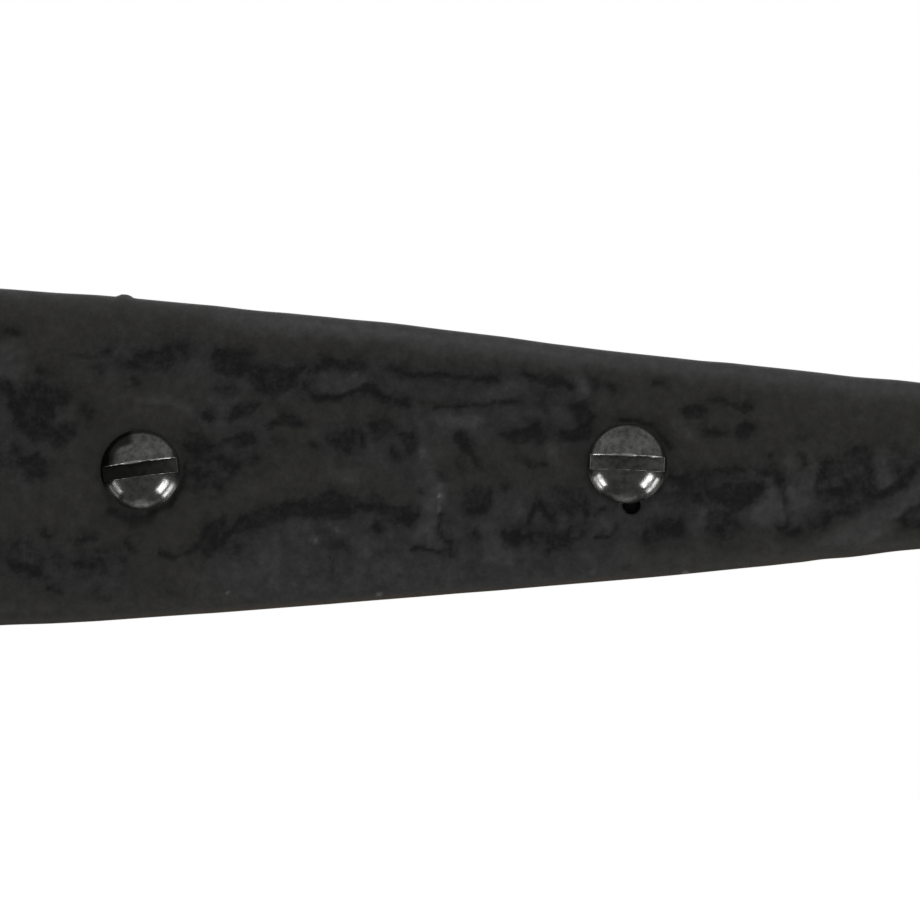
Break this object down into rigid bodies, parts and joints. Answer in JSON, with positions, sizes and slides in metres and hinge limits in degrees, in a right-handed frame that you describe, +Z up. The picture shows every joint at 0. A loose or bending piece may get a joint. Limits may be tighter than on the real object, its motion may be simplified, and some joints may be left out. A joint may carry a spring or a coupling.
{
  "type": "tee hinge",
  "caption": "Black hammered cast iron tee hinge with a tapered strap, a rectangular cross plate, a riveted pin barrel and slotted round-head wood screws.",
  "frame": {"origin": "middle of the cross plate's back face, where it lies on the door frame", "axes": "+X along the strap from the pin to its tip, +Y back into the wood that the hinge is screwed to, +Z up along the pin"},
  "size_m": [0.2455, 0.0405, 0.09],
  "materials": {
    "black_iron": "black satin paint over a hammered casting",
    "screw_steel": "dark worn steel"
  },
  "bodies": {
    "frame_leaf": {"cross_plate": "black_iron", "hinge_pin": "black_iron", "cross_plate_screws": "screw_steel"},
    "strap_leaf": {"strap": "black_iron", "strap_screws": "screw_steel"}
  },
  "joints": [
    {"name": "strap_swing", "type": "hinge", "parent": "frame_leaf", "child": "strap_leaf", "pos_m": [0.0245, -0.006, 0], "axis": [0, 0, -1], "range_deg": [-90, 180]}
  ]
}
